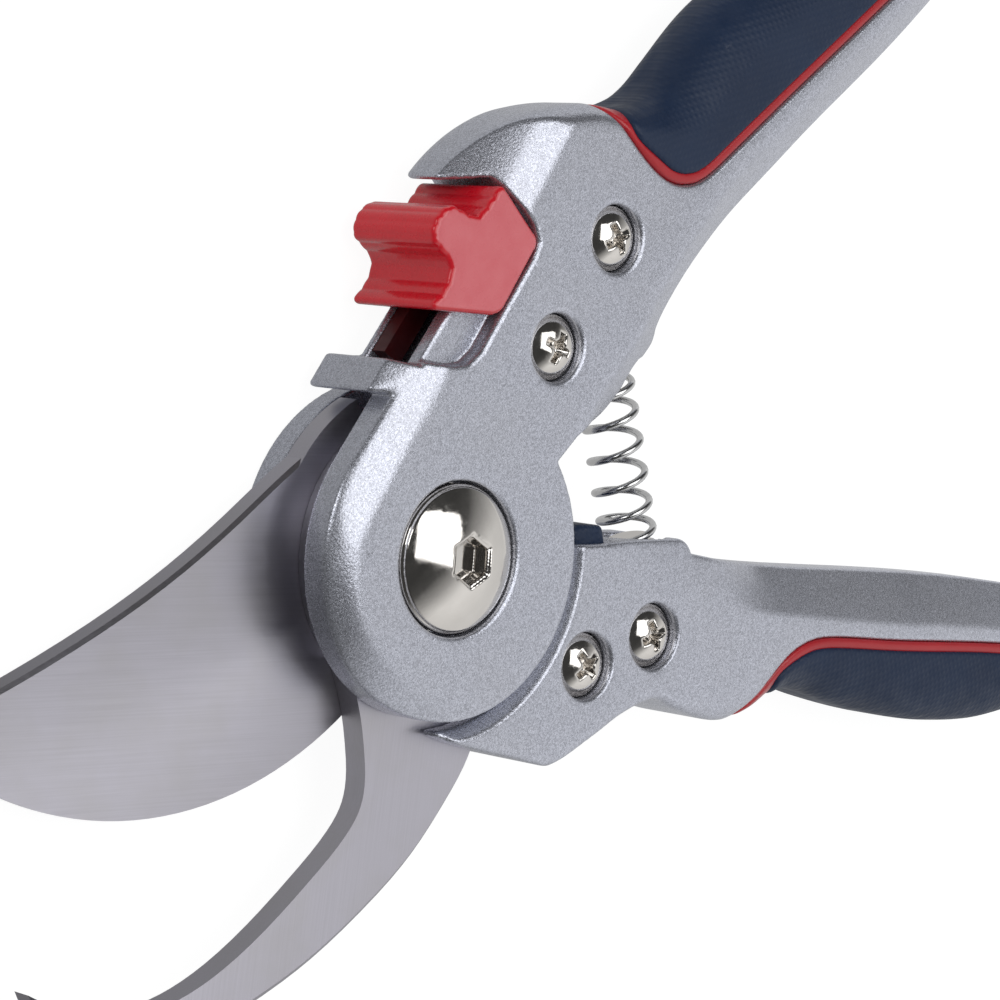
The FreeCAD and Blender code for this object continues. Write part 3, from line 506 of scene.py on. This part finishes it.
# guide lines from the disc outwards, mm from the pivot: where each inner bevel starts, and each back edge
UPPER_BREAK = curve([
    (16, 4), (21, 9), (28.3, 14), (37.4, 20), (42.2, 24.4), (51.3, 30.8),
    (60.6, 36.3), (74, 41.6), (97.3, 50.9), (119, 61),
])
UPPER_BACK = curve([
    (4, 40), (12.4, 46.6), (19, 50), (25.8, 51.6), (32, 51.5), (37.5, 50.6),
    (44, 48.2), (48.4, 48.3), (52, 49.8), (57, 53.1), (66, 58), (78, 61.8),
    (88, 64.2), (100, 66.8), (112, 68.4), (119.9, 67.5), (124, 65),
])
LOWER_BREAK = curve([
    (22, -4), (27.9, -9.2), (32.4, -14.2), (39.4, -18.6), (50.5, -24.2), (62.3, -29.1),
    (82.8, -37.2), (92, -40.4), (112, -48),
])
LOWER_BACK = curve([
    (-1, -26), (6, -29.9), (11.5, -32.9), (20, -31.9), (26.5, -30.7), (32.8, -30.9),
    (37, -34), (42.2, -37.3), (46.4, -39), (52, -39.6), (57.5, -39), (61, -39.5),
    (64.5, -41.1), (69, -44), (76.5, -48.3), (83, -51.6), (91, -55), (102, -58.4),
    (114, -59.8), (121.6, -58.3), (126, -55),
])


def round_heel(clay, middle, half, centre, radius):
    """Rounds off the end of a handle; the rest of the handle lies well inside."""
    reach = np.where(clay.x > HEEL_FROM, radius - np.hypot(clay.x - HEEL_X, clay.y - centre), WELL_INSIDE)
    wide, tall = HEEL_ROUNDING
    clay.cut(round_over(reach, clay.z, middle, half, wide, tall), SOFT)


def round_back(clay, middle, half, inside, size, growth, stations):
    """Rounds the back edge of a handle, more so towards its grip."""
    widen = ramp(clay.x, *stations)
    wide = size[0] + growth[0] * widen
    tall = size[1] + growth[1] * widen
    clay.cut(round_over(inside, clay.z, middle, half, wide, tall), SOFT)


def shape_upper(clay, swell=0.0):
    """Facets over the crease, disc rolled off on one side, bevel on the inner edge, rolled back edge."""
    middle, half = slab("upper_handle")
    half += swell
    x, y, z = clay.x, clay.y, clay.z
    above = math.cos(CREASE_ANGLE) * (y - CREASE_AT[1]) - math.sin(CREASE_ANGLE) * (x - CREASE_AT[0])
    clay.cut((z - middle - half + math.tan(FACET_TILT) * above) * math.cos(FACET_TILT), CRISP)
    beyond = np.maximum(above - STRIP_WIDTH, 0.0)
    drop = math.tan(FACET_TILT) * STRIP_WIDTH + BROW_SLOPE * (above - STRIP_WIDTH) + BROW_CURL * beyond ** 2
    clay.cut((z - middle - half + drop) * BROW_SCALE, CRISP)
    out = np.clip((np.hypot(x, y) - ROLL_START) / ROLL_WIDE, 0.0, 1.5)
    left = ramp(np.cos(np.arctan2(y, x) - ROLL_TOWARDS), -0.1, 0.85)
    clay.cut((z - middle - half + ROLL_DEEP * out ** 2.2 * left) * ROLL_SCALE, SOFT)
    below = np.maximum(-offset_from(UPPER_BREAK, x, y), 0.0)
    depth = BEVEL_DEEP * (below / BEVEL_WIDE) ** BEVEL_CURVE * ramp(x, *BEVEL_FADE)
    clay.cut(fall(depth, z, middle, half) * BEVEL_SCALE, SOFTER)
    round_back(clay, middle, half, -offset_from(UPPER_BACK, x, y) + swell, **UPPER_ROUNDING)
    round_heel(clay, middle, half, *UPPER_HEEL)


def shape_lower(clay, swell=0.0):
    """Long bevel along the inner edge, rounded belly that swells into the grip, chamfer beside the disc."""
    middle, half = slab("lower_handle")
    half += swell
    x, y, z = clay.x, clay.y, clay.z
    beyond = np.maximum(offset_from(LOWER_BREAK, x, y), 0.0)
    deep = LONG_BEVEL_DEEP + LONG_BEVEL_GROWTH * ramp(x, *LONG_BEVEL_SWELL)
    depth = deep * (beyond / LONG_BEVEL_WIDE) ** LONG_BEVEL_CURVE * ramp(x, *LONG_BEVEL_FADE)
    clay.cut(fall(depth, z, middle, half) * LONG_BEVEL_SCALE, SOFT)
    round_back(clay, middle, half, offset_from(LOWER_BACK, x, y) + swell, **LOWER_ROUNDING)
    round_heel(clay, middle, half, *LOWER_HEEL)
    chamfer = (z - middle - half + (DISC_EDGE - np.hypot(x, y)) * CHAMFER_SLOPE) * CHAMFER_SCALE
    clay.cut(np.where(y < 0.0, chamfer, -1.0), CRISP)


GRIP_PROUD = 0.35                        # mm that the soft grips stand out past the CAD's


def handles():
    """Both castings, both trim bands and both grips, each cut by its handle's own shape."""
    for side, shape, body in (("upper", shape_upper, "hook_side"), ("lower", shape_lower, "blade_side")):
        metal = Clay(side + "_handle")
        shape(metal)
        metal.piece(side + "_handle_casting", body, "handle_alloy", side + "_handle", rounding=0.28)
        trim = Clay(side + "_grip_trim")
        shape(trim)
        trim.piece(side + "_trim_band", body, "trim_red", side + "_grip_trim", rounding=0.3)
        grip = Clay(side + "_grip")
        grip.d -= GRIP_PROUD
        shape(grip, GRIP_PROUD)
        grip.piece(side + "_grip_cover", body, "grip_navy", side + "_grip", rounding=0.5)


# ---------------------------------------------------------------- lock slider, bumper, screws and pivot bolt
# outline of the slider on the thumb's side, mm from the pivot
THUMB_SIDE = curve([
    (0.8, 32.7), (2.6, 33.1), (4.3, 34.0), (5.8, 35.4), (6.3, 37.1), (5.3, 38.9),
    (4.2, 40.7), (5.0, 42.8), (6.8, 44.0), (8.7, 44.1), (10.8, 42.6), (12.4, 41.9),
    (14.0, 42.6), (17.3, 44.8),
])
RIB_PITCH = 1.75                         # mm
RIB_DEPTH = 0.22
SLIDER_VOXEL = 1.15 * FINE               # mm, keeps the piece under 200,000 faces


def slider():
    """The lock's slider: ribs across its thumb side, every edge softened."""
    clay = Clay("lock_slider", SLIDER_VOXEL)
    offset, travel = beside_run(THUMB_SIDE, clay.x, clay.y)
    wave = np.abs(np.sin(math.pi * travel / RIB_PITCH))
    clay.cut(offset + RIB_DEPTH * (1.0 - wave) * ramp(travel, 0.5, 1.5), blend=0.15)
    clay.piece("lock_slider_cap", "lock", "slider_red", "lock_slider", rounding=0.55)


def bumper():
    """The block between the handles, of the grips' navy rubber."""
    clay = Clay("rubber_bumper", FINE)
    clay.piece("bumper_block", "blade_side", "grip_navy", "rubber_bumper", rounding=0.8)


# a screw's head, mm: its crown over the old cross, and its rim, carried out towards the wall of the well
CROWN_REACH = 2.7
CROWN_DEEP = 2.4
CROWN_FALL = 0.55
CROWN_FALL_AT = 2.79
RIM_REACH = 4.32
RIM_TOP = 1.75
RIM_DEEP = 3.0
# its recess: half width and reach of an arm and half width of the middle, and what each loses per mm down
ARM_HALF, ARM_HALF_TAPER = 0.5, 0.1
ARM_REACH, ARM_REACH_TAPER = 2.45, 0.7
MIDDLE_HALF, MIDDLE_TAPER = 1.05, 0.25
RECESS_DEEP = 1.9
DIAGONAL = 0.7071


def cross_recess(clay, centre, top, twist):
    """Refills a screw head's plain cross and sinks a tapered one with a wide middle in its place."""
    x, y = clay.x - centre[0], clay.y - centre[1]
    z = clay.z
    r = np.hypot(x, y)
    crown = z - (top - CROWN_FALL * (r / CROWN_FALL_AT) ** 2)
    clay.fill(np.maximum(np.maximum(crown, r - CROWN_REACH), top - CROWN_DEEP - z))
    clay.fill(np.maximum(np.maximum(z - top + RIM_TOP, r - RIM_REACH), top - RIM_DEEP - z))
    c, s = math.cos(math.radians(twist)), math.sin(math.radians(twist))
    u, v = x * c + y * s, y * c - x * s
    deep = top - z
    reach = ARM_REACH - ARM_REACH_TAPER * deep
    arm = ARM_HALF - ARM_HALF_TAPER * deep
    void = np.maximum(np.abs(v) - arm, np.abs(u) - reach)
    void = np.minimum(void, np.maximum(np.abs(u) - arm, np.abs(v) - reach))
    middle = (np.abs(u) + np.abs(v)) * DIAGONAL - (MIDDLE_HALF - MIDDLE_TAPER * deep)
    void = np.minimum(void, middle)
    clay.cut(-np.maximum(void, deep - RECESS_DEEP), blend=0.12)


def screws():
    """Both screws of each handle, as one piece for each handle."""
    for node, body, pair in (("upper_handle_screws", "hook_side", UPPER_SCREWS),
                             ("lower_handle_screws", "blade_side", LOWER_SCREWS)):
        clay = Clay(node, FINE)
        for centre, twist in pair:
            cross_recess(clay, centre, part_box(node)[1].z * MM_PER_M, twist)
        clay.piece(node + "_cross_head", body, "plated_steel", node, rounding=0.12)


# the pivot bolt's head, mm
HEAD_REACH = 9.65
HEAD_DEEP = 4.4
DOME_RADIUS = 15.8
SOCKET_INRADIUS = 2.65
SOCKET_DEEP = 3.0
SOCKET_TURN = math.radians(12.0)


def bolt():
    """The pivot bolt, its dome turned true and carried out close to the wall of its well."""
    clay = Clay("pivot_bolt", FINE)
    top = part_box("pivot_bolt")[1].z * MM_PER_M
    r = np.hypot(clay.x, clay.y)
    dome = np.sqrt(r ** 2 + (clay.z - top + DOME_RADIUS) ** 2) - DOME_RADIUS
    angle = np.arctan2(clay.y, clay.x) - SOCKET_TURN
    sector = math.radians(60.0)
    flats = r * np.cos((angle % sector) - sector / 2.0) - SOCKET_INRADIUS
    socket = np.maximum(flats, top - SOCKET_DEEP - clay.z)
    cap = np.maximum(np.maximum(dome, r - HEAD_REACH), top - HEAD_DEEP - clay.z)
    clay.fill(np.maximum(cap, -socket))
    clay.piece("pivot_bolt_head", "hook_side", "plated_steel", "pivot_bolt", rounding=0.2)


# the return spring: its axis and its wire in mm, its turns, and how the tube round the wire is divided
SPRING_X = 38.0
SPRING_Z = 9.3
COIL_RADIUS = 3.6
WIRE_RADIUS = 0.5
COIL_TURNS = 9.0
COIL_START = 0.6                         # radians
CLOSING = 0.045                          # how much the end coils draw together
WIRE_SIDES = 14
STEPS_PER_TURN = 36


def coil_spring():
    """The return spring: coils that stand closer near both ends, stretched between the handles."""
    low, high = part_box("return_spring")
    start, end = high.y * MM_PER_M, low.y * MM_PER_M
    count = int(COIL_TURNS * STEPS_PER_TURN)
    rise = (end - start) / (COIL_TURNS * math.tau * COIL_RADIUS)
    points = []
    for n in range(count + 1):
        part = n / count
        settle = part - CLOSING * math.sin(math.tau * part)
        angle = math.tau * COIL_TURNS * part + COIL_START
        height = start - WIRE_RADIUS + (end - start + 2.0 * WIRE_RADIUS) * settle
        out = Vector((math.cos(angle), 0.0, math.sin(angle)))
        forward = Vector((-math.sin(angle), rise, math.cos(angle))).normalized()
        across = out.cross(forward)
        centre = Vector((SPRING_X, height, SPRING_Z)) + COIL_RADIUS * out
        for k in range(WIRE_SIDES):
            turn = math.tau * k / WIRE_SIDES
            points.append((centre + WIRE_RADIUS * (math.cos(turn) * out + math.sin(turn) * across)) * MM)
    faces = []
    for n in range(count):
        near, far = n * WIRE_SIDES, (n + 1) * WIRE_SIDES
        for k in range(WIRE_SIDES):
            beside = (k + 1) % WIRE_SIDES
            faces.append((near + k, near + beside, far + beside, far + k))
    faces.append(tuple(reversed(range(WIRE_SIDES))))
    faces.append(tuple(range(count * WIRE_SIDES, (count + 1) * WIRE_SIDES)))
    spring = mesh_object("coil_spring", [tuple(p) for p in points], faces, "spring_steel")
    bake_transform(spring)
    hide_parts("return_spring")


handles()
slider()
bumper()
screws()
bolt()
coil_spring()


# ---------------------------------------------------------------- stage, light and camera
FLOOR_REACH = 4.0                        # m
FLOOR_DROP = 0.0002                      # m below the object
FLOOR_GLOW = 1.1
FLOOR_SHARE = 0.85                       # how much of what the camera sees of the floor is that even glow


def pale_floor():
    """A pale floor, lit evenly where the camera sees it, and darker towards the blades in reflections."""
    mesh = bpy.data.meshes.new("floor")
    signs = ((-1.0, -1.0), (1.0, -1.0), (1.0, 1.0), (-1.0, 1.0))
    corners = [(FLOOR_REACH * x, FLOOR_REACH * y, -FLOOR_DROP) for x, y in signs]
    mesh.from_pydata(corners, [], [(0, 1, 2, 3)])
    floor = bpy.data.objects.new("floor", mesh)
    bpy.context.scene.collection.objects.link(floor)
    f = Finish("floor", Specular_IOR_Level=0.1)
    paper = f.mix(f.noise(grain=0.3), grey(0.93), grey(0.95))
    floor.data.materials.append(f.wire(Base_Color=paper, Roughness=0.8))
    rays = f.add("ShaderNodeLightPath")
    glow = f.add("ShaderNodeEmission")
    glow.inputs["Strength"].default_value = FLOOR_GLOW
    glow_share = f.add("ShaderNodeMath", operation="MULTIPLY")
    f.feed(glow_share.inputs[0], rays.outputs["Is Camera Ray"])
    glow_share.inputs[1].default_value = FLOOR_SHARE
    share = f.add("ShaderNodeMixShader")
    f.feed(share.inputs["Fac"], glow_share.outputs["Value"])
    f.feed(share.inputs[1], f.surface.outputs["BSDF"])
    f.feed(share.inputs[2], glow.outputs["Emission"])
    place = f.add("ShaderNodeSeparateXYZ")
    f.feed(place.inputs["Vector"], f.coords)
    reflected = f.add("ShaderNodeEmission")
    f.feed(reflected.inputs["Strength"], f.spread(place.outputs["X"], -0.12, 0.12, 0.1, 0.75))
    mirrored = f.add("ShaderNodeMixShader")
    f.feed(mirrored.inputs["Fac"], rays.outputs["Is Glossy Ray"])
    f.feed(mirrored.inputs[1], share.outputs["Shader"])
    f.feed(mirrored.inputs[2], reflected.outputs["Emission"])
    f.feed(f.tree.nodes["Material Output"].inputs["Surface"], mirrored.outputs["Shader"])


LIT_POINT = (0.02, 0.0, 0.0)             # where both lamps point, in metres


def soft_box(name, place, size, power):
    """A square lamp that points at the object."""
    light = bpy.data.lights.new(name, "AREA")
    light.shape = "RECTANGLE"
    light.size = size
    light.size_y = size
    light.energy = power
    obj = bpy.data.objects.new(name, light)
    obj.location = place
    obj.rotation_euler = (Vector(LIT_POINT) - Vector(place)).to_track_quat("-Z", "Y").to_euler()
    bpy.context.scene.collection.objects.link(obj)


# the room's brightness, as stops of position and level: along a level direction, and by height
SLANT = (0.6, -0.8, 0.0)
SLANT_STOPS = ((0.0, 0.05), (0.22, 0.08), (0.45, 0.40), (0.66, 0.86), (1.0, 0.95))
HEIGHT_STOPS = ((0.0, 0.75), (0.3, 0.8), (0.65, 1.0), (1.0, 0.85))


def studio():
    """Two lamps in an even grey room, which reflections see bright on the lower handle's side only."""
    world = bpy.data.worlds.new("studio")
    bpy.context.scene.world = world
    world.use_nodes = True
    tree = world.node_tree
    link = tree.links.new

    def add(kind, **settings):
        node = tree.nodes.new(kind)
        for key, value in settings.items():
            setattr(node, key, value)
        return node

    def stepped(value, stops):
        band = add("ShaderNodeValToRGB")
        link(value, band.inputs["Fac"])
        for n, (at, level) in enumerate(stops):
            stop = band.color_ramp.elements[n] if n < 2 else band.color_ramp.elements.new(at)
            stop.position = at
            stop.color = grey(level)
        return band.outputs["Color"]

    towards = add("ShaderNodeTexCoord").outputs["Generated"]
    slant = add("ShaderNodeVectorMath", operation="DOT_PRODUCT")
    link(towards, slant.inputs[0])
    slant.inputs[1].default_value = SLANT
    split = add("ShaderNodeSeparateXYZ")
    link(towards, split.inputs["Vector"])
    both = add("ShaderNodeMix", data_type="RGBA", blend_type="MULTIPLY")
    both.inputs["Factor"].default_value = 1.0
    link(stepped(slant.outputs["Value"], SLANT_STOPS), both.inputs[COLOUR_A])
    link(stepped(split.outputs["Z"], HEIGHT_STOPS), both.inputs[COLOUR_B])
    choose = add("ShaderNodeMix", data_type="RGBA")
    link(add("ShaderNodeLightPath").outputs["Is Glossy Ray"], choose.inputs["Factor"])
    choose.inputs[COLOUR_A].default_value = grey(0.5)
    link(both.outputs[COLOUR_OUT], choose.inputs[COLOUR_B])
    background = tree.nodes["Background"]
    link(choose.outputs[COLOUR_OUT], background.inputs["Color"])
    background.inputs["Strength"].default_value = 1.0
    soft_box("overhead", (0.12, 0.19, 0.75), size=0.65, power=2.6)
    soft_box("side", (-0.5, 0.5, 0.35), size=0.3, power=0.8)


CAMERA_AT = (-0.288421, 0.128512, 0.348134)
CAMERA_RIGHT = (0.706685, -0.151248, 0.691173)
CAMERA_UP = (0.293114, 0.951695, -0.091436)


def camera():
    """Looks down at 46 degrees from beyond the blades, rolled to stand the object as pictured."""
    view = bpy.data.cameras.new("camera")
    view.sensor_width = 36.0
    view.lens = 129.6
    view.clip_start = 0.01
    right, up = Vector(CAMERA_RIGHT), Vector(CAMERA_UP)
    turn = Matrix((right, up, right.cross(up))).transposed().to_4x4()
    obj = bpy.data.objects.new("camera", view)
    obj.matrix_world = Matrix.Translation(CAMERA_AT) @ turn
    bpy.context.scene.collection.objects.link(obj)
    bpy.context.scene.camera = obj


pale_floor()
studio()
camera()
bpy.context.scene.view_settings.view_transform = "Standard"
